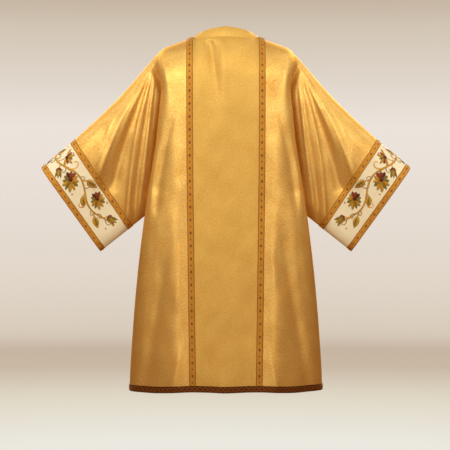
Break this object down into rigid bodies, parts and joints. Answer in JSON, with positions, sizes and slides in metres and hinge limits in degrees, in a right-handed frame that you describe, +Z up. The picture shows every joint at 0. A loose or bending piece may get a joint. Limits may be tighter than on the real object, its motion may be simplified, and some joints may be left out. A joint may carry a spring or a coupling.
{
  "type": "dalmatic",
  "caption": "Gold cloth church vestment with wide open sleeves, braided edges and an embroidered band on each sleeve, hanging hollow.",
  "frame": {"origin": "middle of the neck opening, level with the shoulders that carry the cloth", "axes": "+Z up, +X towards the wearer's right, +Y the way the wearer faces, so the back of the garment faces -Y"},
  "size_m": [1.2248, 0.3628, 1.2003],
  "materials": {
    "gold_cloth": "metallic brocade with a soft sheen",
    "braid": "woven metallic braid with a diamond pattern",
    "cream_cloth": "matt satin with raised embroidery"
  },
  "bodies": {
    "root": {"back_panel": "gold_cloth", "front_panel": "gold_cloth", "sleeve_left": "gold_cloth", "sleeve_right": "gold_cloth", "neck_band_left": "gold_cloth", "neck_band_right": "gold_cloth", "back_braid_left": "braid", "back_braid_right": "braid", "front_braid_left": "braid", "front_braid_right": "braid", "back_hem_braid": "braid", "front_hem_braid": "braid", "sleeve_braid_left": "braid", "sleeve_braid_right": "braid", "cuff_braid_left": "braid", "cuff_braid_right": "braid", "embroidered_band_left": "cream_cloth", "embroidered_band_right": "cream_cloth"}
  },
  "joints": []
}
